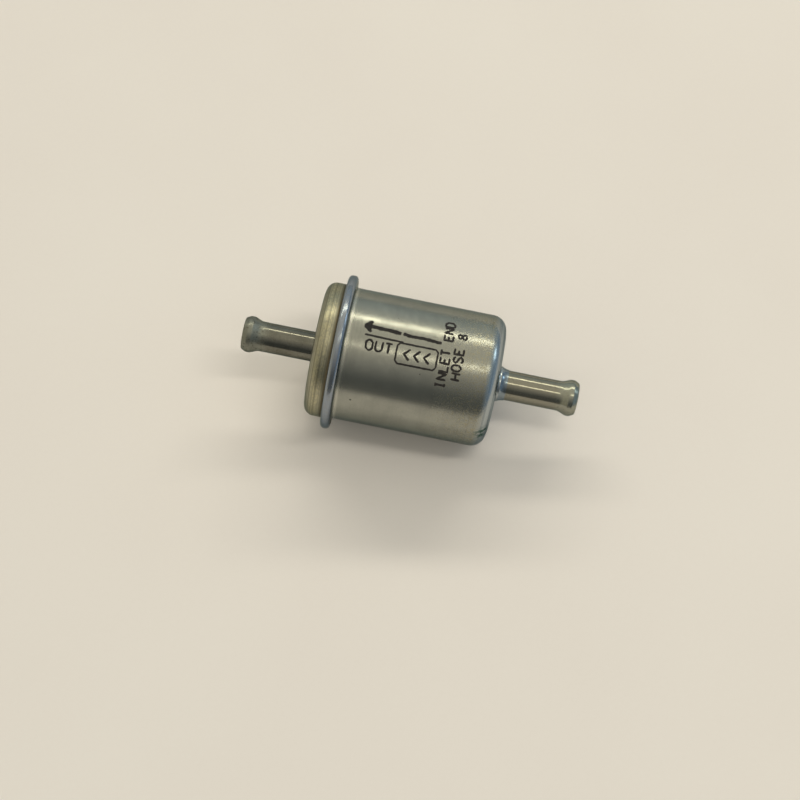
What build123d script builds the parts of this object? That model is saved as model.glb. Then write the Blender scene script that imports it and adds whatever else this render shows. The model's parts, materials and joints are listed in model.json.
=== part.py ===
"""Small in-line fuel filter: a drawn steel can closed by a rolled-seam cover, with a brazed
hose nipple at each end and a pleated paper element sealed inside.

Frame: millimetres, origin on the axis at the middle of the can's straight barrel.
+X runs along the flow axis towards the inlet nipple, +Z is up.
Fuel enters at +X, passes the pleats from outside to inside and leaves at -X.
"""
import math
import os

from build123d import *

# Sheet and tube stock
wall = 0.7
tube_radius = 4.0
tube_bore_radius = 3.0

# Can: straight barrel, rounded shoulder, flat end
can_radius = 17.65
barrel_length = 36.9
shoulder_radius = 3.9
flange_bend_radius = 1.1
collar_root_radius = 1.6
mouth_swell = 0.12
mouth_length = 0.25
seam_face = -barrel_length / 2
can_end = barrel_length / 2 + shoulder_radius
can_floor = can_end - wall

# Cover: shallow cup, its rim hemmed round the can's flange
cover_radius = 18.0
cover_corner_radius = 2.7
cover_flange_radius = 0.6
seam_width = 2.7
seam_radius = 20.7
cover_end = -26.35
cover_floor = cover_end + wall
seam_back = seam_face - seam_width
hem_slant = 0.35
hem_fold_radius = 1.0
hem_toe_gap = 0.3
gasket_thickness = 0.4
gasket_inner_radius = cover_radius + 0.15
flange_edge_radius = 19.4

# Hose nipples: rolled bead with a narrow land at its crest
inlet_tip = 44.35
outlet_tip = -45.9
bead_radius = 4.85
bead_land = 1.1
bead_wall = 1.05
nose_length = 1.3
nose_drop = 0.65
bead_length = 4.5
tip_bore_radius = tube_bore_radius + 0.2
inlet_inset = 0.9
outlet_gap = 0.15
flare_length = 0.9
collar_radius = tube_radius + wall
collar_height = 1.1
collar_bend_radius = 0.8

# Braze fillets
inlet_braze_length = 2.9
inlet_braze_lip = 0.16
inlet_braze_hollow = (0.75, 0.32)
outlet_braze_radius = 4.95
outlet_braze_length = 0.45
outlet_braze_hollow = (0.15, 0.42)

# Support plate and face seal under the element
plate_outer_radius = 14.3
plate_inner_radius = 10.2
plate_slot_height = 1.8
plate_slot_width = 5.0
plate_slots = 6
seal_thickness = 3.0
seal_width = 3.0
seal_radius = 8.3
seal_edge_radius = 0.5

# Filter element, stacked from the cover side to the can side
cap_thickness = 0.4
cap_radius = 15.0
cap_rim = 2.4
cap_hole_radius = 5.6
cap_collar_height = 1.6
potting_thickness = 2.0
potting_embed = 1.2
core_radius = 6.8
core_wall = 0.4
element_length = 34.0
pleat_count = 32
pleat_inner_radius = 7.35
pleat_outer_radius = 14.1
media_thickness = 0.45
outer_fold_radius = 0.5
inner_fold_radius = 0.3
outlet_cap_face = cover_floor + seal_thickness
inlet_cap_face = outlet_cap_face + element_length
boss_radius = 5.2
boss_height = 0.9
boss_slope = 0.6
clip_depth = 3.0
clip_wall = 0.45

# Core tube perforations
core_hole_radius = 1.1
core_holes_round = 8
core_hole_rows = 9

# Spring between the element and the can's end
spring_wire_radius = 0.5
spring_small_radius = 6.3
spring_large_radius = 9.6
spring_turns = 3.5

# Strainer disc behind the outlet
strainer_face = outlet_cap_face - 0.6
strainer_depth = 0.9
strainer_rim = 0.6
strainer_wire_radius = 0.14
strainer_pitch = 0.8


def turn(section):
    """Full revolution of a half section drawn in the XY plane, radius along Y."""
    return revolve(section, Axis.X, 360)


def ring(x_start, x_end, inner_radius, outer_radius):
    """Plain ring about the X axis."""
    corners = [
        (x_start, inner_radius),
        (x_end, inner_radius),
        (x_end, outer_radius),
        (x_start, outer_radius),
    ]
    return turn(make_face(Polyline(*corners, close=True)))


def sheet(points, radii, side):
    """Half section of bent sheet: a filleted path thickened to one side."""
    path = FilletPolyline(*points, radius=radii)
    return make_face(offset(path, amount=wall, side=side, closed=True))


def can():
    """Drawn can: flange under the hem, barrel, shoulder, end and drawn collar."""
    flange_side = seam_back + wall + gasket_thickness
    points = [
        (flange_side, flange_edge_radius),
        (flange_side, can_radius - wall + mouth_swell),
        (seam_face + mouth_length, can_radius - wall),
        (can_floor, can_radius - wall),
        (can_floor, collar_radius - wall),
        (can_end + collar_height, collar_radius - wall),
    ]
    radii = [flange_bend_radius, 0, shoulder_radius - wall, collar_root_radius]
    return turn(sheet(points, radii, Side.LEFT))


def end_cover():
    """Drawn cover: inward collar, rounded corner and a rim hemmed over the flange."""
    points = [
        (cover_floor + collar_height, tube_radius),
        (cover_end, tube_radius),
        (cover_end, cover_radius),
        (seam_back, cover_radius),
        (seam_back, seam_radius),
        (seam_face - hem_slant, seam_radius),
        (seam_face, can_radius + hem_toe_gap),
    ]
    bends = [collar_bend_radius, cover_corner_radius, cover_flange_radius]
    return turn(sheet(points, bends + [hem_fold_radius, hem_fold_radius], Side.RIGHT))


def seam_gasket():
    """Sealing ring squeezed between the cover's flange and the can's flange."""
    start = seam_back + wall
    return ring(start, start + gasket_thickness, gasket_inner_radius, flange_edge_radius)


def nipple(tip, inner_end):
    """Steel hose nipple: rolled bead at the tip, inner end flared behind the collar."""
    out = math.copysign(1, tip)
    crest_outer = tip - out * nose_length
    crest_inner = crest_outer - out * bead_land
    bead_start = tip - out * bead_length
    hollow_start = bead_start + out * 0.8
    flare_start = inner_end + out * flare_length
    outer = FilletPolyline(
        (inner_end, tube_radius + flare_length),
        (flare_start, tube_radius),
        (bead_start, tube_radius),
        (crest_inner, bead_radius),
        (crest_outer, bead_radius),
        (tip, bead_radius - nose_drop),
        (tip, tip_bore_radius),
        radius=[0.3, 3.0, 1.0, 1.0, 0.55],
    )
    inner = FilletPolyline(
        (tip, tip_bore_radius),
        (crest_outer, bead_radius - bead_wall),
        (crest_inner, bead_radius - bead_wall),
        (hollow_start, tube_bore_radius),
        (flare_start, tube_bore_radius),
        (inner_end, tube_bore_radius + flare_length),
        radius=[0.5, 0.8, 3.0, 0.3],
    )
    lip = Line((inner_end, tube_bore_radius + flare_length), (inner_end, tube_radius + flare_length))
    return turn(make_face([outer, inner, lip]))


def inlet_braze():
    """Concave braze fillet from the lip of the can's collar to the inlet nipple."""
    start = can_end + collar_height
    end = can_end + inlet_braze_length
    lip_radius = tube_radius + inlet_braze_lip
    hollow_length, hollow_height = inlet_braze_hollow
    curve = ThreePointArc(
        (start, collar_radius),
        (start + hollow_length, tube_radius + hollow_height),
        (end, lip_radius),
    )
    back = Polyline(
        (end, lip_radius),
        (end, tube_radius),
        (start, tube_radius),
        (start, collar_radius),
    )
    return turn(make_face([curve, back]))


def outlet_braze():
    """Braze that fills the rounded entry of the cover's collar and stands just proud."""
    start = cover_end - outlet_braze_length
    hollow_length, hollow_height = outlet_braze_hollow
    bend = collar_bend_radius
    sag = bend * (1 - math.sqrt(0.5))
    surface = ThreePointArc(
        (cover_end, outlet_braze_radius),
        (cover_end - hollow_length, tube_radius + hollow_height),
        (start, tube_radius),
    )
    seat = Line((start, tube_radius), (cover_end + bend, tube_radius))
    entry = ThreePointArc(
        (cover_end + bend, tube_radius),
        (cover_end + sag, tube_radius + sag),
        (cover_end, tube_radius + bend),
    )
    edge = Line((cover_end, tube_radius + bend), (cover_end, outlet_braze_radius))
    return turn(make_face([surface, seat, entry, edge]))


def support_plate():
    """Pressed ring that carries the element's load to the corner of the cover."""
    corners = [
        (outlet_cap_face, plate_inner_radius),
        (outlet_cap_face, plate_outer_radius),
        (cover_floor, plate_outer_radius),
        (cover_floor, plate_outer_radius - wall),
        (outlet_cap_face - wall, plate_outer_radius - wall),
        (outlet_cap_face - wall, plate_inner_radius),
    ]
    plate = turn(make_face(Polyline(*corners, close=True)))
    slot = Box(plate_slot_height, plate_slot_width, 4 * wall)
    slot = Pos(cover_floor + plate_slot_height / 2, 0, plate_outer_radius) * slot
    for index in range(plate_slots):
        plate -= Rot(360 / plate_slots * index, 0, 0) * slot
    return plate


def element_seal():
    """Rubber face seal between the cover and the element's outlet cap."""
    section = Rectangle(seal_thickness, seal_width, align=(Align.MIN, Align.CENTER))
    section = Pos(cover_floor, seal_radius) * section
    section = fillet(section.vertices(), seal_edge_radius)
    return turn(section)


def outlet_end_cap():
    """Tinplate cup over the element's outlet end, with a drawn collar round its hole."""
    inside = outlet_cap_face + cap_thickness
    collar_end = outlet_cap_face - cap_collar_height
    corners = [
        (collar_end, cap_hole_radius),
        (inside, cap_hole_radius),
        (inside, cap_radius - cap_thickness),
        (outlet_cap_face + cap_rim, cap_radius - cap_thickness),
        (outlet_cap_face + cap_rim, cap_radius),
        (outlet_cap_face, cap_radius),
        (outlet_cap_face, cap_hole_radius + cap_thickness),
        (collar_end, cap_hole_radius + cap_thickness),
    ]
    return turn(make_face(Polyline(*corners, close=True)))


def inlet_end_cap():
    """Closed tinplate cup over the element's inlet end, with a boss that centres the spring."""
    inside = inlet_cap_face - cap_thickness
    corners = [
        (inside + boss_height, 0),
        (inlet_cap_face + boss_height, 0),
        (inlet_cap_face + boss_height, boss_radius),
        (inlet_cap_face, boss_radius + boss_slope),
        (inlet_cap_face, cap_radius),
        (inlet_cap_face - cap_rim, cap_radius),
        (inlet_cap_face - cap_rim, cap_radius - cap_thickness),
        (inside, cap_radius - cap_thickness),
        (inside, boss_radius + boss_slope - cap_thickness),
        (inside + boss_height, boss_radius - cap_thickness),
    ]
    return turn(make_face(Polyline(*corners, close=True)))


def core_tube():
    """Perforated tinplate tube that holds the pleats open from inside."""
    start = outlet_cap_face + cap_thickness
    end = inlet_cap_face - cap_thickness
    tube = ring(start, end, core_radius - core_wall, core_radius)
    first_row = start + potting_thickness + 2 * core_hole_radius
    last_row = end - potting_thickness - 2 * core_hole_radius
    row_pitch = (last_row - first_row) / (core_hole_rows - 1)
    turn_step = 360 / core_holes_round
    drill = Cylinder(core_hole_radius, 6 * core_wall)
    drills = []
    for row in range(core_hole_rows):
        stagger = turn_step / 2 * (row % 2)
        for index in range(core_holes_round):
            angle = stagger + turn_step * index
            place = Rot(angle, 0, 0) * Pos(first_row + row_pitch * row, 0, core_radius)
            drills.append(place * drill)
    return tube - drills


def pleat_outline():
    """Centre line of the pleated paper across the axis: one flat-topped fold after another."""
    half_pitch = math.pi / pleat_count
    half_flat = half_pitch / 2
    corners = []
    radii = []
    for index in range(pleat_count):
        fold = 2 * half_pitch * index
        valley = fold + half_pitch
        for angle, radius, fold_radius in (
            (fold - half_flat, pleat_outer_radius, outer_fold_radius),
            (fold + half_flat, pleat_outer_radius, outer_fold_radius),
            (valley - half_flat, pleat_inner_radius, inner_fold_radius),
            (valley + half_flat, pleat_inner_radius, inner_fold_radius),
        ):
            corners.append((radius * math.cos(angle), radius * math.sin(angle)))
            radii.append(fold_radius)
    return FilletPolyline(*corners, radius=radii, close=True)


def filter_media():
    """Pleated paper, its folds parallel to the axis, embedded in both potting rings."""
    start = outlet_cap_face + cap_thickness + potting_thickness - potting_embed
    end = inlet_cap_face - cap_thickness - potting_thickness + potting_embed
    middle = make_face(pleat_outline())
    section = offset(middle, media_thickness / 2) - offset(middle, -media_thickness / 2)
    return Plane.YZ.offset(start) * extrude(section, end - start)


def media_seam_clip(media):
    """Folded metal strip that grips the pleat where the paper's two ends meet."""
    start = outlet_cap_face + cap_thickness + potting_thickness
    end = inlet_cap_face - cap_thickness - potting_thickness
    half = math.pi / pleat_count
    fold_width = 2 * pleat_outer_radius * math.sin(half / 2) + media_thickness
    middle = pleat_outer_radius + clip_wall - clip_depth / 2
    strip = Box(end - start, clip_depth, fold_width + 1.2 * clip_wall)
    strip = Pos((start + end) / 2, middle, 0) * strip
    clip = strip - media
    solids = clip.solids().sort_by(Axis.Y)
    return solids[-1]


def potting(x_start, x_end, media):
    """Adhesive ring round the core tube that seals the pleats into an end cap."""
    return ring(x_start, x_end, core_radius, cap_radius - cap_thickness) - media


def element_spring():
    """Tapered compression spring that presses the element onto its seal."""
    start = inlet_cap_face + spring_wire_radius
    height = can_floor - inlet_cap_face - 2 * spring_wire_radius
    taper = math.degrees(math.atan((spring_large_radius - spring_small_radius) / height))
    coil = Helix(
        pitch=height / spring_turns,
        height=height,
        radius=spring_small_radius,
        cone_angle=taper,
    )
    section = Plane(origin=coil @ 0, z_dir=coil % 0) * Circle(spring_wire_radius)
    wire = sweep(section, path=coil, is_frenet=True)
    return Pos(start, 0, 0) * Rot(0, 90, 0) * wire


def strainer_frame():
    """Thin ring pressed into the outlet cap's hole, which carries the strainer cloth."""
    inner_radius = cap_hole_radius - strainer_rim
    return ring(strainer_face, strainer_face + strainer_depth, inner_radius, cap_hole_radius)


def strainer_mesh():
    """Square wire cloth that catches loose fibres, its wires bonded where they cross."""
    middle = strainer_face + strainer_depth / 2
    edge = cap_hole_radius - strainer_rim
    lines = int(edge / strainer_pitch)
    layer = strainer_wire_radius / 2
    wires = []
    for index in range(-lines, lines + 1):
        across = index * strainer_pitch
        length = 2 * math.sqrt(edge ** 2 - (abs(across) + strainer_wire_radius) ** 2)
        wire = Cylinder(strainer_wire_radius, length)
        wires.append(Pos(middle - layer, across, 0) * wire)
        wires.append(Pos(middle + layer, 0, across) * Rot(90, 0, 0) * wire)
    return wires[0].fuse(*wires[1:])


def build():
    """Returns every piece of the filter by node name."""
    media = filter_media()
    outlet_inner_end = cover_floor + collar_height + flare_length + outlet_gap
    outlet_pot = outlet_cap_face + cap_thickness
    inlet_pot = inlet_cap_face - cap_thickness
    return {
        "can": can(),
        "end_cover": end_cover(),
        "seam_gasket": seam_gasket(),
        "inlet_nipple": nipple(inlet_tip, can_floor - inlet_inset),
        "outlet_nipple": nipple(outlet_tip, outlet_inner_end),
        "inlet_braze": inlet_braze(),
        "outlet_braze": outlet_braze(),
        "support_plate": support_plate(),
        "element_seal": element_seal(),
        "outlet_end_cap": outlet_end_cap(),
        "inlet_end_cap": inlet_end_cap(),
        "core_tube": core_tube(),
        "filter_media": media,
        "media_seam_clip": media_seam_clip(media),
        "outlet_potting": potting(outlet_pot, outlet_pot + potting_thickness, media),
        "inlet_potting": potting(inlet_pot - potting_thickness, inlet_pot, media),
        "element_spring": element_spring(),
        "strainer_frame": strainer_frame(),
        "strainer_mesh": strainer_mesh(),
    }


os.makedirs("parts", exist_ok=True)
for name, piece in build().items():
    export_step(piece, f"parts/{name}.step")
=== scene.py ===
"""In-line fuel filter lying on pale paper under long soft ceiling lights.

Everything is in metres in the row frame: the filter's axis is X, the inlet at +X, +Z up.
The filter rests on its rolled seam and on the can's far shoulder, so the paper is tilted
a few degrees to the axis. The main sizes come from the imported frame.
"""
import json
import math
import random

import bmesh
import bpy
from mathutils import Matrix, Vector


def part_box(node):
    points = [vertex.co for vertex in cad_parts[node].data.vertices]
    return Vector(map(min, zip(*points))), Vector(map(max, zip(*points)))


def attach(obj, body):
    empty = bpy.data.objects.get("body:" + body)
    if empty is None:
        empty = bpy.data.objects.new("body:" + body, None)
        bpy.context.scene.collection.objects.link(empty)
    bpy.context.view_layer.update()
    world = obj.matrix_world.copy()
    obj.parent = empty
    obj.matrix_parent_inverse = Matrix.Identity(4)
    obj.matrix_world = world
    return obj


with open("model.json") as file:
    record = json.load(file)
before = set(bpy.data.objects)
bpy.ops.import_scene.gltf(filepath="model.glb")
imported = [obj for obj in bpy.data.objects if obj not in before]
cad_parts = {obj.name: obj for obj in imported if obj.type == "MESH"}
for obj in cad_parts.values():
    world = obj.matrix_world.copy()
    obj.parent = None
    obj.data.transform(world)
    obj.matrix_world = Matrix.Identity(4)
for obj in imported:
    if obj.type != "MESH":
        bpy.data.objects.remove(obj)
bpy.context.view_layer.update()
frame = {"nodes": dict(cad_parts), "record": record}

MM = 0.001
NODES = frame["nodes"]
RECORD = frame["record"]

# Sizes read from the frame
COVER_HIGH = Vector(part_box("end_cover")[1])
MOUNTS = {mount["name"]: mount for mount in RECORD["mounts"]}
CAN_RADIUS = MOUNTS["body_clamp"]["dims"]["r_mm"] * MM
SEAM_RADIUS = COVER_HIGH.y
SEAM_FACE = COVER_HIGH.x
# The straight barrel is centred on the origin
SHOULDER = -SEAM_FACE

# The rolled seam's width and crest, and the cover's own radius
SEAM_WIDTH = 2.7 * MM
SEAM_MIDDLE = SEAM_FACE - 1.5 * MM
COVER_RADIUS = 18.0 * MM

# Where each nipple's bead begins to change its finish and where the change is whole
OUTLET_BEAD = (-38.6 * MM, -41.2 * MM)
INLET_BEAD = (38.2 * MM, 40.5 * MM)

# The paper touches the seam's rim and the can's shoulder
DROP = SEAM_RADIUS - CAN_RADIUS
SPAN = SHOULDER - SEAM_MIDDLE
TILT = math.atan2(DROP, SPAN)
TABLE_UP = Vector((-math.sin(TILT), 0, math.cos(TILT)))
TABLE_POINT = Vector((SEAM_MIDDLE, 0, -SEAM_RADIUS / math.cos(TILT)))


def on_can(along, around, radius):
    """Point at a place along the axis and an angle in degrees from the top towards -Y."""
    turn = math.radians(around)
    return Vector((along, -radius * math.sin(turn), radius * math.cos(turn)))


# Camera: looks down across the axis, the inlet end a little lower in the picture
AXIS_SLOPE = math.radians(11.3)
LOOK_DOWN = math.radians(25.0)
SENSOR_MM = 36.0
LENS_MM = 76.5
DISTANCE = 452.1277 * MM
AIM_RIGHT = 3.46 * MM
AIM_UP = 8.88 * MM


def camera_axes():
    """The camera's right, up and backward directions in the row frame.

    The row's own axes are written as the camera sees them. Turned round, that table gives
    the camera's axes.
    """
    row_x = Vector((math.cos(AXIS_SLOPE), -math.sin(AXIS_SLOPE), 0))
    row_z = Vector(
        (
            math.sin(LOOK_DOWN) * math.sin(AXIS_SLOPE),
            math.sin(LOOK_DOWN) * math.cos(AXIS_SLOPE),
            math.cos(LOOK_DOWN),
        )
    )
    row_y = row_z.cross(row_x)
    seen = Matrix((row_x, row_y, row_z)).transposed()
    return [seen[index].copy() for index in range(3)]


CAMERA_RIGHT, CAMERA_UP, CAMERA_BACK = camera_axes()


def add_camera():
    """The scene's camera, at the photograph's viewing angle."""
    data = bpy.data.cameras.new("camera")
    data.sensor_width = SENSOR_MM
    data.lens = LENS_MM
    data.clip_start = 0.01
    data.clip_end = 20
    camera = bpy.data.objects.new("camera", data)
    bpy.context.scene.collection.objects.link(camera)
    axes = Matrix((CAMERA_RIGHT, CAMERA_UP, CAMERA_BACK)).transposed()
    place = CAMERA_BACK * DISTANCE - CAMERA_RIGHT * AIM_RIGHT - CAMERA_UP * AIM_UP
    camera.matrix_world = Matrix.Translation(place) @ axes.to_4x4()
    bpy.context.scene.camera = camera


add_camera()

# Directions on the table, as the camera sees it
TABLE_RIGHT = (CAMERA_RIGHT - TABLE_UP * CAMERA_RIGHT.dot(TABLE_UP)).normalized()
TABLE_BACK = TABLE_UP.cross(TABLE_RIGHT)


# ---------------------------------------------------------------- node helpers
class Graph:
    """Short ways to add nodes to a material or world."""

    def __init__(self, owner):
        owner.use_nodes = True
        self.tree = owner.node_tree
        self.tree.nodes.clear()

    def node(self, kind, **values):
        """A new node with the given properties."""
        made = self.tree.nodes.new(kind)
        for name, value in values.items():
            setattr(made, name, value)
        return made

    def link(self, source, target):
        """Joins an output socket to an input socket."""
        self.tree.links.new(source, target)

    def feed(self, socket, value):
        """Links a socket or sets a plain value."""
        if isinstance(value, bpy.types.NodeSocket):
            self.link(value, socket)
        elif value is not None:
            socket.default_value = value

    def coords(self, scale):
        """Object coordinates stretched by scale on each axis."""
        place = self.node("ShaderNodeTexCoord")
        mapping = self.node("ShaderNodeMapping")
        self.link(place.outputs["Object"], mapping.inputs["Vector"])
        mapping.inputs["Scale"].default_value = scale
        return mapping.outputs["Vector"]

    def along_and_radius(self):
        """Place along the axis and distance from it, both in metres."""
        place = self.node("ShaderNodeTexCoord")
        split = self.node("ShaderNodeSeparateXYZ")
        self.link(place.outputs["Object"], split.inputs[0])
        across = self.math("MULTIPLY", split.outputs["Y"], split.outputs["Y"])
        height = self.math("MULTIPLY", split.outputs["Z"], split.outputs["Z"])
        return split.outputs["X"], self.math("SQRT", self.math("ADD", across, height))

    def near(self, point, inner, outer):
        """1 within inner of a point, fading to 0 at outer."""
        place = self.node("ShaderNodeTexCoord")
        gap = self.node("ShaderNodeVectorMath", operation="DISTANCE")
        self.link(place.outputs["Object"], gap.inputs[0])
        gap.inputs[1].default_value = point
        return self.remap(gap.outputs["Value"], inner, outer, 1, 0)

    def noise(self, scale, size, detail, rough):
        """Noise value over coordinates stretched by scale."""
        made = self.node("ShaderNodeTexNoise")
        self.link(self.coords(scale), made.inputs["Vector"])
        made.inputs["Scale"].default_value = size
        made.inputs["Detail"].default_value = detail
        made.inputs["Roughness"].default_value = rough
        return made.outputs["Fac"]

    def remap(self, value, low, high, to_low, to_high):
        """Linear, clamped change of range."""
        made = self.node("ShaderNodeMapRange")
        for name, number in (
            ("Value", value),
            ("From Min", low),
            ("From Max", high),
            ("To Min", to_low),
            ("To Max", to_high),
        ):
            self.feed(made.inputs[name], number)
        return made.outputs["Result"]

    def math(self, operation, a, b=None):
        """One arithmetic step."""
        made = self.node("ShaderNodeMath", operation=operation)
        self.feed(made.inputs[0], a)
        self.feed(made.inputs[1], b)
        return made.outputs["Value"]

    def mix(self, factor, a, b):
        """Colour a where the factor is 0, colour b where it is 1."""
        made = self.node("ShaderNodeMix", data_type="RGBA")
        # Sockets 6 and 7 in and 2 out are the colour ones
        self.feed(made.inputs[0], factor)
        self.feed(made.inputs[6], a)
        self.feed(made.inputs[7], b)
        return made.outputs[2]

    def bump(self, height, distance, strength, under=None):
        """Normal roughened by a height, over another normal if one is given."""
        made = self.node("ShaderNodeBump")
        made.inputs["Strength"].default_value = strength
        made.inputs["Distance"].default_value = distance
        self.link(height, made.inputs["Height"])
        if under is not None:
            self.link(under, made.inputs["Normal"])
        return made.outputs["Normal"]

    def surface(self, **values):
        """Principled shader to the output. The names write a space as _."""
        shader = self.node("ShaderNodeBsdfPrincipled")
        for name, value in values.items():
            self.feed(shader.inputs[name.replace("_", " ")], value)
        out = self.node("ShaderNodeOutputMaterial")
        self.link(shader.outputs["BSDF"], out.inputs["Surface"])


# ---------------------------------------------------------------- materials
# Stretch of a noise: alike on every axis, and drawn out round the filter's axis
EVEN = (1, 1, 1)
DRAWN_LINES = (1900, 40, 40)
SPECK_SIZE = 3200
CLOUD_SHARE = 0.5
STREAK_SHARE = 0.3
ROUGH_SPREAD = 0.12
RELIEF = 0.00002
# Zinc's colour seen at a glancing angle
EDGE_TINT = (0.35, 0.41, 0.43, 1)


class Plating(Graph):
    """Zinc plating on drawn steel: cloudy colour, fine grain and streaks round the axis."""

    def __init__(self, name, light, dark, rough, streak, grain, cloud=220, contrast=0.16):
        self.material = bpy.data.materials.new(name)
        super().__init__(self.material)
        clouds = self.noise(EVEN, cloud, 5, 0.6)
        speck = self.noise(EVEN, SPECK_SIZE, 3, 0.7)
        lines = self.noise(DRAWN_LINES, 1.0, 4, 0.6)
        line_share = STREAK_SHARE * streak
        speck_share = 1 - CLOUD_SHARE - line_share
        tone = self.math("MULTIPLY", clouds, CLOUD_SHARE)
        tone = self.math("ADD", tone, self.math("MULTIPLY", speck, speck_share))
        tone = self.math("ADD", tone, self.math("MULTIPLY", lines, line_share))
        tone = self.remap(tone, 0.5 - contrast, 0.5 + contrast, 0, 1)
        self.colour = self.mix(tone, dark, light)
        self.rough = self.remap(tone, 0, 1, rough * (1 + ROUGH_SPREAD), rough * (1 - ROUGH_SPREAD))
        fine = self.bump(speck, RELIEF * grain, 0.5)
        self.normal = self.bump(lines, RELIEF * streak, 0.5, fine)

    def stain(self, mask, colour, rough):
        """Changes colour and roughness where the mask is 1."""
        self.colour = self.mix(mask, self.colour, colour)
        share = self.math("MULTIPLY", mask, self.math("SUBTRACT", rough, self.rough))
        self.rough = self.math("ADD", self.rough, share)

    def speckle(self, size, low, high):
        """1 on scattered grains of a noise, 0 between them."""
        return self.remap(self.noise(EVEN, size, 3, 0.6), low, high, 0, 1)

    def hoops(self, fineness, low, high, most):
        """Streaks that run right round the axis, up to a strength."""
        return self.remap(self.noise((fineness, 6, 6), 1.0, 3, 0.6), low, high, 0, most)

    def both(self, first, second):
        """1 only where both masks are 1."""
        return self.math("MULTIPLY", first, second)

    def finish(self):
        """The material, with its shader made."""
        self.surface(
            Base_Color=self.colour,
            Metallic=1.0,
            Roughness=self.rough,
            Specular_Tint=EDGE_TINT,
            Normal=self.normal,
        )
        return self.material


def plated_steel(*values):
    """Plain plated metal, with no stains."""
    return Plating(*values).finish()


def can_zinc():
    """The can: dull zinc, speckled towards the inlet end, with a rub on its shoulder, a painted bluish
    reflection on the shoulder and a painted highlight line beside the seam.
    """
    light = (0.375, 0.38, 0.335, 1)
    dark = (0.275, 0.28, 0.25, 1)
    zinc = Plating("can_zinc", light, dark, rough=0.235, streak=0.5, grain=0.7)
    along = zinc.along_and_radius()[0]
    inlet_end = zinc.remap(along, 3 * MM, SHOULDER, 0, 1)
    gold = zinc.both(inlet_end, zinc.speckle(1900, 0.5, 0.62))
    zinc.stain(gold, (0.36, 0.335, 0.245, 1), 0.36)
    end_only = zinc.remap(along, SHOULDER - 6 * MM, SHOULDER - 2 * MM, 0, 1)
    zinc.stain(zinc.both(zinc.hoops(2600, 0.56, 0.66, 0.5), end_only), (0.20, 0.20, 0.18, 1), 0.3)
    # Paler, bluish band on the shoulder: painted reflection of the cool window, with a smoother finish
    painted_reflection_on_shoulder = zinc.remap(along, SHOULDER + 0.2 * MM, SHOULDER + 2.2 * MM, 0, 0.85)
    zinc.stain(painted_reflection_on_shoulder, (0.42, 0.46, 0.48, 1), 0.22)
    scored = zinc.remap(along, SHOULDER + 1 * MM, SHOULDER + 2 * MM, 0, 1)
    zinc.stain(zinc.both(zinc.hoops(3200, 0.5, 0.58, 0.6), scored), (0.12, 0.15, 0.18, 1), 0.3)
    # Cream line on the can next to the seam: painted highlight of the seam's toe
    painted_highlight_beside_seam = zinc.both(
        zinc.remap(along, SEAM_FACE + 0.1 * MM, SEAM_FACE + 0.3 * MM, 0, 1),
        zinc.remap(along, SEAM_FACE + 0.6 * MM, SEAM_FACE + 1.1 * MM, 0.65, 0),
    )
    zinc.stain(painted_highlight_beside_seam, (0.56, 0.555, 0.49, 1), 0.3)
    rub_point = on_can(SHOULDER + 2.6 * MM, 79, CAN_RADIUS - 1.0 * MM)
    around_rub = zinc.near(rub_point, 1.2 * MM, 3.0 * MM)
    rub = zinc.both(around_rub, zinc.speckle(1100, 0.38, 0.54))
    zinc.stain(rub, (0.07, 0.12, 0.095, 1), 0.5)
    return zinc.finish()


def cover_zinc():
    """The cover: yellowed zinc with streaks round it, its seam burnished by the rolls and painted bluish as
    a reflection of the cool window, with painted shade and grime in the groove before the seam and a painted
    highlight at the seam's toe.
    """
    light = (0.385, 0.375, 0.29, 1)
    dark = (0.27, 0.265, 0.21, 1)
    zinc = Plating("cover_zinc", light, dark, rough=0.37, streak=0.9, grain=1.0, cloud=420, contrast=0.14)
    along, radius = zinc.along_and_radius()
    wall_middle = SEAM_FACE - SEAM_WIDTH - 2.5 * MM
    from_middle = zinc.math("ABSOLUTE", zinc.math("SUBTRACT", along, wall_middle))
    band = zinc.remap(from_middle, 0.6 * MM, 1.9 * MM, 1, 0.05)
    grains = zinc.remap(zinc.noise((3000, 1500, 1500), 1.0, 3, 0.6), 0.42, 0.6, 0.15, 0.95)
    zinc.stain(zinc.both(band, grains), (0.53, 0.485, 0.31, 1), 0.31)
    zinc.stain(zinc.hoops(2600, 0.47, 0.6, 0.75), (0.20, 0.19, 0.14, 1), 0.38)
    # The rolled seam: burnished smoother, and painted bluish as the cool window's reflection
    rolled = zinc.remap(radius, COVER_RADIUS + 0.9 * MM, SEAM_RADIUS - 0.7 * MM, 0, 1)
    mottle = zinc.remap(zinc.noise(EVEN, 1500, 4, 0.6), 0.3, 0.7, 0.6, 1)
    zinc.stain(zinc.both(rolled, mottle), (0.29, 0.33, 0.40, 1), 0.17)
    # Dark brown ring in the groove before the seam: painted shade in the crease, with grime
    groove = zinc.math("ABSOLUTE", zinc.math("SUBTRACT", along, SEAM_FACE - SEAM_WIDTH))
    groove = zinc.remap(groove, 0.4 * MM, 1.0 * MM, 0.9, 0)
    inside = zinc.remap(radius, COVER_RADIUS + 0.6 * MM, COVER_RADIUS + 2.2 * MM, 1, 0)
    zinc.stain(zinc.both(groove, inside), (0.12, 0.10, 0.065, 1), 0.5)
    # Pale cream ring at the seam's toe: painted highlight
    toe = zinc.remap(along, SEAM_FACE - 0.9 * MM, SEAM_FACE - 0.6 * MM, 0, 1)
    edge = zinc.remap(radius, CAN_RADIUS + 0.6 * MM, CAN_RADIUS + 1.2 * MM, 0.9, 0)
    zinc.stain(zinc.both(toe, edge), (0.75, 0.74, 0.66, 1), 0.35)
    return zinc.finish()


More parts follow.
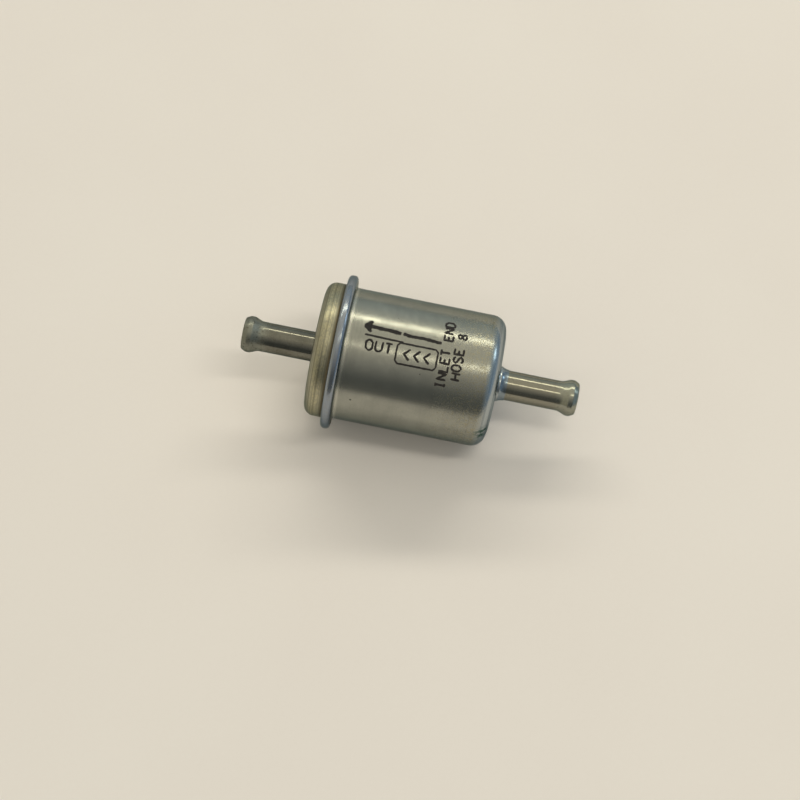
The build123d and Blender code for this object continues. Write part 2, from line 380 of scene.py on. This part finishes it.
def nipple_zinc():
    """The hose nipples: bright drawn tube, paler at the inlet and dulled on the outlet's bead."""
    light = (0.23, 0.225, 0.19, 1)
    dark = (0.12, 0.118, 0.096, 1)
    zinc = Plating("nipple_zinc", light, dark, rough=0.12, streak=0.3, grain=0.5)
    along = zinc.along_and_radius()[0]
    inlet_side = zinc.remap(along, 0, 10 * MM, 0, 0.8)
    zinc.stain(inlet_side, (0.30, 0.29, 0.235, 1), 0.145)
    outlet_bead = zinc.remap(along, *OUTLET_BEAD, 0, 1)
    zinc.stain(outlet_bead, (0.235, 0.24, 0.205, 1), 0.4)
    inlet_bead = zinc.remap(along, *INLET_BEAD, 0, 1)
    zinc.stain(inlet_bead, (0.32, 0.325, 0.27, 1), 0.21)
    zinc.stain(zinc.both(zinc.speckle(1300, 0.56, 0.68), outlet_bead), (0.13, 0.13, 0.11, 1), 0.45)
    zinc.stain(zinc.speckle(2200, 0.6, 0.7), (0.11, 0.10, 0.07, 1), 0.3)
    return zinc.finish()


def plain_solid(name, light, dark, rough, size, bump):
    """Matt or satin solid with mottled colour and a fine uneven surface."""
    material = bpy.data.materials.new(name)
    graph = Graph(material)
    patch = graph.noise(EVEN, size, 6, 0.65)
    colour = graph.mix(graph.remap(patch, 0.3, 0.7, 0, 1), dark, light)
    shine = graph.remap(patch, 0.3, 0.7, rough * 1.15, rough * 0.85)
    normal = graph.bump(patch, bump, 0.6)
    graph.surface(Base_Color=colour, Roughness=shine, Normal=normal)
    return material


def paper_floor():
    """Pale warm paper with the faintest mottling."""
    material = bpy.data.materials.new("paper_floor")
    graph = Graph(material)
    shaded, lit = (0.797, 0.752, 0.712, 1), (0.822, 0.783, 0.742, 1)
    broad = graph.noise(EVEN, 14, 3, 0.5)
    fibre = graph.noise(EVEN, 900, 4, 0.7)
    tone = graph.math("ADD", graph.math("MULTIPLY", broad, 0.7), graph.math("MULTIPLY", fibre, 0.3))
    colour = graph.mix(graph.remap(tone, 0.3, 0.7, 0, 1), shaded, lit)
    normal = graph.bump(fibre, 0.00003, 0.4)
    graph.surface(Base_Color=colour, Roughness=0.75, Normal=normal, Specular_IOR_Level=0.25)
    return material


# Slot: light and dark colour, roughness, streaks round the axis, grain
METALS = {
    # The braze's bluish colour is a painted reflection of the cool window
    "braze_zinc": ((0.36, 0.41, 0.44, 1), (0.17, 0.21, 0.24, 1), 0.2, 0.3, 1.0),
    "plate_steel": ((0.6, 0.6, 0.58, 1), (0.45, 0.45, 0.44, 1), 0.35, 1.0, 1.0),
    "tinplate": ((0.75, 0.75, 0.73, 1), (0.6, 0.6, 0.59, 1), 0.25, 0.5, 0.7),
    "spring_steel": ((0.35, 0.34, 0.33, 1), (0.2, 0.2, 0.2, 1), 0.3, 0.5, 1.0),
    "strainer_metal": ((0.75, 0.6, 0.33, 1), (0.6, 0.45, 0.25, 1), 0.3, 0.2, 0.6),
}
# Slot: light and dark colour, roughness, fineness of the mottling, height of the bumps
SOLIDS = {
    "gasket_rubber": ((0.04, 0.04, 0.04, 1), (0.02, 0.02, 0.02, 1), 0.6, 1500, 2e-5),
    "seal_rubber": ((0.05, 0.05, 0.05, 1), (0.025, 0.025, 0.025, 1), 0.55, 1500, 2e-5),
    "filter_paper": ((0.80, 0.68, 0.45, 1), (0.62, 0.50, 0.30, 1), 0.9, 2200, 4e-5),
    "potting_adhesive": ((0.7, 0.6, 0.4, 1), (0.6, 0.5, 0.33, 1), 0.5, 700, 3e-5),
    "marking_ink": ((0.022, 0.018, 0.016, 1), (0.005, 0.004, 0.004, 1), 0.75, 1800, 1e-5),
}
MATERIALS = {"can_zinc": can_zinc(), "cover_zinc": cover_zinc(), "nipple_zinc": nipple_zinc()}
for slot, values in METALS.items():
    MATERIALS[slot] = plated_steel(slot, *values)
for slot, values in SOLIDS.items():
    MATERIALS[slot] = plain_solid(slot, *values)

for part in RECORD["subparts"]:
    node = NODES[part["node"]]
    node.data.materials.clear()
    node.data.materials.append(MATERIALS[part["material_slot"]])
    for face in node.data.polygons:
        face.use_smooth = True
    node.data.set_sharp_from_angle(angle=math.radians(30))


# ---------------------------------------------------------------- printed marks
# Strokes are drawn on the can's unrolled wall in millimetres: along +X, and round from the
# top towards -Y
INK_LOW = CAN_RADIUS + 0.002 * MM
INK_HIGH = CAN_RADIUS + 0.03 * MM
LAYER = 0.002 * MM
LAYERS = 7
# Widths, steps and unevenness of the strokes, in millimetres or as shares of the width
STROKE = 0.58
STEP = 0.4
RAGGED = 0.2
DRAWN_IN = 0.7
LETTER_DRIFT_UP = 0.12
LETTER_DRIFT_ALONG = 0.05
LETTER_LEAN = 0.05
LETTER_GRID_HEIGHT = 6
TOWARDS_INLET = (1, 0)
TOWARDS_OUTLET = (-1, 0)
TOWARDS_TOP = (0, -1)
dice = random.Random(11)

# Letters on a grid four wide and six high
LETTERS = {
    "D": [[(0, 0), (0, 6), (2.4, 6), (4, 4.6), (4, 1.4), (2.4, 0), (0, 0)]],
    "E": [[(4, 0), (0, 0), (0, 6), (4, 6)], [(0, 3.1), (3, 3.1)]],
    "H": [[(0, 0), (0, 6)], [(4, 0), (4, 6)], [(0, 3), (4, 3)]],
    "I": [[(2, 0), (2, 6)], [(0.8, 0), (3.2, 0)], [(0.8, 6), (3.2, 6)]],
    "L": [[(0, 6), (0, 0), (3.8, 0)]],
    "N": [[(0, 0), (0, 6), (4, 0), (4, 6)]],
    "O": [[(1.2, 0), (0, 1.4), (0, 4.6), (1.2, 6), (2.8, 6), (4, 4.6), (4, 1.4), (2.8, 0), (1.2, 0)]],
    "S": [[(4, 5), (2.9, 6), (1.1, 6), (0, 4.8), (0.8, 3.5), (3.2, 2.6), (4, 1.3),
           (2.9, 0), (1.1, 0), (0, 1)]],
    "T": [[(2, 0), (2, 6)], [(0, 6), (4, 6)]],
    "U": [[(0, 6), (0, 1.3), (1.2, 0), (2.8, 0), (4, 1.3), (4, 6)]],
    "8": [[(2, 3.1), (0.5, 4), (0.5, 5.2), (2, 6), (3.5, 5.2), (3.5, 4), (2, 3.1), (0.2, 2), (0.2, 0.9),
           (2, 0), (3.8, 0.9), (3.8, 2), (2, 3.1)]],
    " ": [],
}


def even_steps(points):
    """The same path with a point about every STEP."""
    path = [Vector(points[0])]
    for start, end in zip(points, points[1:]):
        start, end = Vector(start), Vector(end)
        count = max(1, round((end - start).length / STEP))
        for index in range(1, count + 1):
            path.append(start.lerp(end, index / count))
    return path


class Print:
    """One inked mark: a set of thin closed strips that hug the can."""

    def __init__(self, name):
        self.name = name
        self.vertices = []
        self.faces = []
        self.strips = 0

    def point(self, place, radius):
        """Where a place on the unrolled wall is, at a radius."""
        along, around = place
        return on_can(along * MM, math.degrees(around * MM / CAN_RADIUS), radius)

    def stroke(self, points, width=STROKE):
        """A strip along a path, its edges slightly ragged and its ends drawn in."""
        path = even_steps(points)
        top = INK_HIGH + LAYER * (self.strips % LAYERS)
        self.strips += 1
        first = len(self.vertices)
        last = len(path) - 1
        for index, place in enumerate(path):
            ahead = path[min(index + 1, last)] - path[max(index - 1, 0)]
            side = Vector((-ahead.y, ahead.x)).normalized()
            half = width / 2 * (DRAWN_IN if index in (0, last) else 1.0)
            left = place + side * half * dice.uniform(1 - RAGGED, 1 + RAGGED)
            right = place - side * half * dice.uniform(1 - RAGGED, 1 + RAGGED)
            for corner, radius in ((left, INK_LOW), (right, INK_LOW), (right, top), (left, top)):
                self.vertices.append(self.point(corner, radius))
        for index in range(last):
            here = first + 4 * index
            for corner in range(4):
                beside = (corner + 1) % 4
                self.faces.append((here + corner, here + beside, here + 4 + beside, here + 4 + corner))
        end = first + 4 * last
        self.faces.append((first + 3, first + 2, first + 1, first))
        self.faces.append((end, end + 1, end + 2, end + 3))

    def write(self, text, start, reading, upward, height, pitch):
        """Letters from a start point, along reading, with their tops towards upward."""
        reading, upward = Vector(reading), Vector(upward)
        scale = height / LETTER_GRID_HEIGHT
        for index, letter in enumerate(text):
            drift = upward * dice.uniform(-LETTER_DRIFT_UP, LETTER_DRIFT_UP)
            drift += reading * dice.uniform(-LETTER_DRIFT_ALONG, LETTER_DRIFT_ALONG)
            corner = Vector(start) + reading * pitch * index + drift
            lean = dice.uniform(-LETTER_LEAN, LETTER_LEAN)
            for line in LETTERS[letter]:
                places = []
                for right, up in line:
                    across = (right + lean * up) * scale
                    places.append(corner + reading * across + upward * up * scale)
                self.stroke(places)

    def finish(self):
        """Makes the piece from the strips."""
        mesh = bpy.data.meshes.new(self.name)
        mesh.from_pydata(self.vertices, [], self.faces)
        mesh.materials.append(MATERIALS["marking_ink"])
        work = bmesh.new()
        work.from_mesh(mesh)
        bmesh.ops.recalc_face_normals(work, faces=work.faces)
        work.to_mesh(mesh)
        work.free()
        piece = bpy.data.objects.new(self.name, mesh)
        bpy.context.scene.collection.objects.link(piece)
        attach(piece, "root")


def print_flow_arrow():
    """Arrow towards the outlet, with a thin rule beside it."""
    mark = Print("flow_arrow_print")
    tip, tail, row = -14.2, 6.0, -0.3
    head_length, head_half = 1.9, 1.7
    mark.stroke([(tip + 1, row), (-8, row + 0.15), (-4.6, row + 0.4)], 1.05)
    mark.stroke([(-4.1, row + 0.3), (-2, row + 0.65), (1, row + 0.55), (tail, row + 0.9)], 0.9)
    for spread in (0.9, 0.35, -0.35, -0.9):
        mark.stroke([(tip, row), (tip + head_length, row + head_half * spread)], 0.85)
    mark.stroke([(-13.8, row + 2.5), (-3.6, row + 2.7)], 0.5)
    mark.finish()


def print_out_word():
    """The word OUT below the arrow's head."""
    mark = Print("out_print")
    mark.write("OUT", (-13.0, 6.0), TOWARDS_INLET, TOWARDS_TOP, height=2.6, pitch=2.5)
    mark.finish()


def print_frame_mark():
    """Plain frame round three chevrons that point with the flow."""
    mark = Print("chevron_print")
    middle_along, middle_around = 0.3, 5.35
    long_half, short_half, corner = 5.3, 2.7, 0.7
    outline = []
    for right, up in ((1, 1), (-1, 1), (-1, -1), (1, -1)):
        near = (middle_along + right * long_half, middle_around + up * (short_half - corner))
        far = (middle_along + right * (long_half - corner), middle_around + up * short_half)
        outline += [near, far] if right * up > 0 else [far, near]
    outline.append(outline[0])
    mark.stroke(outline, 0.5)
    spacing, depth, reach, lead = 2.6, 1.5, 1.45, 0.7
    for count in (-1, 0, 1):
        apex = middle_along + spacing * count - lead
        arm = apex + depth
        mark.stroke([(arm, middle_around - reach), (apex, middle_around), (arm, middle_around + reach)], 0.6)
    mark.finish()


def print_end_words():
    """Two lines round the can at its inlet end."""
    mark = Print("inlet_end_print")
    mark.write("INLET END", (8.7, 12.1), TOWARDS_TOP, TOWARDS_OUTLET, height=2.3, pitch=2.12)
    mark.finish()
    mark = Print("hose_size_print")
    mark.write("HOSE 8", (12.1, 9.3), TOWARDS_TOP, TOWARDS_OUTLET, height=2.3, pitch=2.2)
    mark.finish()


def print_specks():
    """Stray specks of ink and dirt."""
    mark = Print("ink_specks")
    specks = ((-6.3, -4.5, 0.3), (-5.1, -3.8, 0.25), (-14.5, 20.6, 0.45), (1.9, 9.6, 0.25))
    for along, around, size in specks:
        mark.stroke([(along, around), (along + size, around + 0.3 * size)], size)
    mark.finish()


print_flow_arrow()
print_out_word()
print_frame_mark()
print_end_words()
print_specks()


# ---------------------------------------------------------------- stage and light
PAPER_HALF = 1.6

# Ceiling lights: name, degrees back from straight above, distance, left end, right end and
# width in metres, watts, colour. Fills light surfaces; glints are seen only in the metal.
FILLS = (
    ("fill_back", 47, 2.0, -1.3, 1.3, 0.22, 17.8, (1.0, 0.95, 0.82)),
    ("fill_over", -7.5, 1.8, -0.04, 1.3, 0.14, 8, (1.0, 0.95, 0.84)),
    ("fill_front", -34, 1.9, -1.0, 1.0, 0.2, 3, (1.0, 0.96, 0.88)),
)
GLINTS = (
    ("glint_back", 42, 2.0, -1.3, 1.3, 0.13, 7.6, (1.0, 0.95, 0.74)),
    ("glint_over", -9.0, 1.8, 0.05, 1.3, 0.12, 2.1, (1.0, 0.94, 0.74)),
)

# Small cool window beyond the inlet end
WINDOW_TOWARD = Vector((0.69, 0.42, 0.58)).normalized()
WINDOW_DISTANCE = 2
WINDOW_SIDE = 0.45
WINDOW_WATTS = 2.2
WINDOW_COLOUR = (0.72, 0.90, 1.0)

# The room's light by its lean in degrees: 0 straight above, 90 at the back, -90 at the front
ROOM_LIGHT = (
    (-180, (0.20, 0.19, 0.17)),
    (-100, (0.10, 0.10, 0.09)),
    (-62, (0.10, 0.105, 0.10)),
    (-36, (0.30, 0.29, 0.26)),
    (-15, (0.50, 0.47, 0.40)),
    (8, (0.58, 0.55, 0.46)),
    (33, (0.58, 0.55, 0.47)),
    (62, (0.44, 0.46, 0.43)),
    (80, (0.36, 0.40, 0.39)),
    (95, (0.20, 0.23, 0.23)),
    (120, (0.16, 0.18, 0.18)),
    (180, (0.20, 0.19, 0.17)),
)
COOL_RIGHT = (0.22, 0.28, 0.33, 1)
WARM_LEFT = (0.42, 0.39, 0.30, 1)
BACKDROP = (0.70, 0.68, 0.62, 1)
ROOM_STRENGTH = 1.09
ROOM_STRENGTH_IN_METAL = 1.4


def add_floor():
    """A sheet of pale paper under the filter."""
    corners = []
    for right, back in ((-1, -1), (1, -1), (1, 1), (-1, 1)):
        corners.append(TABLE_POINT + (TABLE_RIGHT * right + TABLE_BACK * back) * PAPER_HALF)
    mesh = bpy.data.meshes.new("paper")
    mesh.from_pydata(corners, [], [(0, 1, 2, 3)])
    mesh.materials.append(paper_floor())
    floor = bpy.data.objects.new("paper", mesh)
    bpy.context.scene.collection.objects.link(floor)


def add_tube_light(name, behind, distance, start, end, width, power, colour, glint):
    """Long ceiling light across the view, facing the filter."""
    data = bpy.data.lights.new(name, "AREA")
    data.shape = "RECTANGLE"
    data.size = end - start
    data.size_y = width
    data.energy = power
    data.color = colour
    light = bpy.data.objects.new(name, data)
    bpy.context.scene.collection.objects.link(light)
    light.visible_glossy = glint
    light.visible_diffuse = not glint
    lean = math.radians(behind)
    out = TABLE_UP * math.cos(lean) + TABLE_BACK * math.sin(lean)
    place = out * distance + TABLE_RIGHT * (start + end) / 2
    axes = Matrix((TABLE_RIGHT, out.cross(TABLE_RIGHT), out)).transposed()
    light.matrix_world = Matrix.Translation(place) @ axes.to_4x4()


def add_window_glint():
    """The window, seen only in the metal."""
    data = bpy.data.lights.new("window", "AREA")
    data.size = WINDOW_SIDE
    data.energy = WINDOW_WATTS
    data.color = WINDOW_COLOUR
    light = bpy.data.objects.new("window", data)
    bpy.context.scene.collection.objects.link(light)
    light.visible_diffuse = False
    facing = WINDOW_TOWARD.to_track_quat("Z", "Y").to_matrix().to_4x4()
    light.matrix_world = Matrix.Translation(WINDOW_TOWARD * WINDOW_DISTANCE) @ facing


def add_room():
    """Room light round the table: a pale ceiling, a cooler back wall and a dim front."""
    world = bpy.data.worlds.new("room")
    bpy.context.scene.world = world
    graph = Graph(world)
    place = graph.node("ShaderNodeTexCoord")

    def part_along(direction):
        """How far the looked-at direction goes along another."""
        made = graph.node("ShaderNodeVectorMath", operation="DOT_PRODUCT")
        graph.link(place.outputs["Generated"], made.inputs[0])
        made.inputs[1].default_value = direction
        return made.outputs["Value"]

    up = part_along(TABLE_UP)
    back = part_along(TABLE_BACK)
    right = part_along(TABLE_RIGHT)
    lean = graph.math("ARCTAN2", back, up)
    ramp = graph.node("ShaderNodeValToRGB")
    points = ramp.color_ramp.elements
    while len(points) < len(ROOM_LIGHT):
        points.new(0.5)
    for point, (degrees, colour) in zip(points, ROOM_LIGHT):
        point.position = (degrees + 180) / 360
        point.color = (*colour, 1)
    graph.link(graph.remap(lean, -math.pi, math.pi, 0, 1), ramp.inputs["Fac"])
    colour = graph.mix(graph.remap(right, 0.25, 0.8, 0, 1), ramp.outputs["Color"], COOL_RIGHT)
    colour = graph.mix(graph.remap(right, -0.3, -0.9, 0, 1), colour, WARM_LEFT)
    ray = graph.node("ShaderNodeLightPath")
    colour = graph.mix(ray.outputs["Is Camera Ray"], colour, BACKDROP)
    strength = graph.remap(ray.outputs["Is Glossy Ray"], 0, 1, ROOM_STRENGTH, ROOM_STRENGTH_IN_METAL)
    shade = graph.node("ShaderNodeBackground")
    graph.link(colour, shade.inputs["Color"])
    graph.link(strength, shade.inputs["Strength"])
    out = graph.node("ShaderNodeOutputWorld")
    graph.link(shade.outputs["Background"], out.inputs["Surface"])


add_floor()
add_room()
for values in FILLS:
    add_tube_light(*values, glint=False)
for values in GLINTS:
    add_tube_light(*values, glint=True)
add_window_glint()
bpy.context.scene.view_settings.view_transform = "Standard"
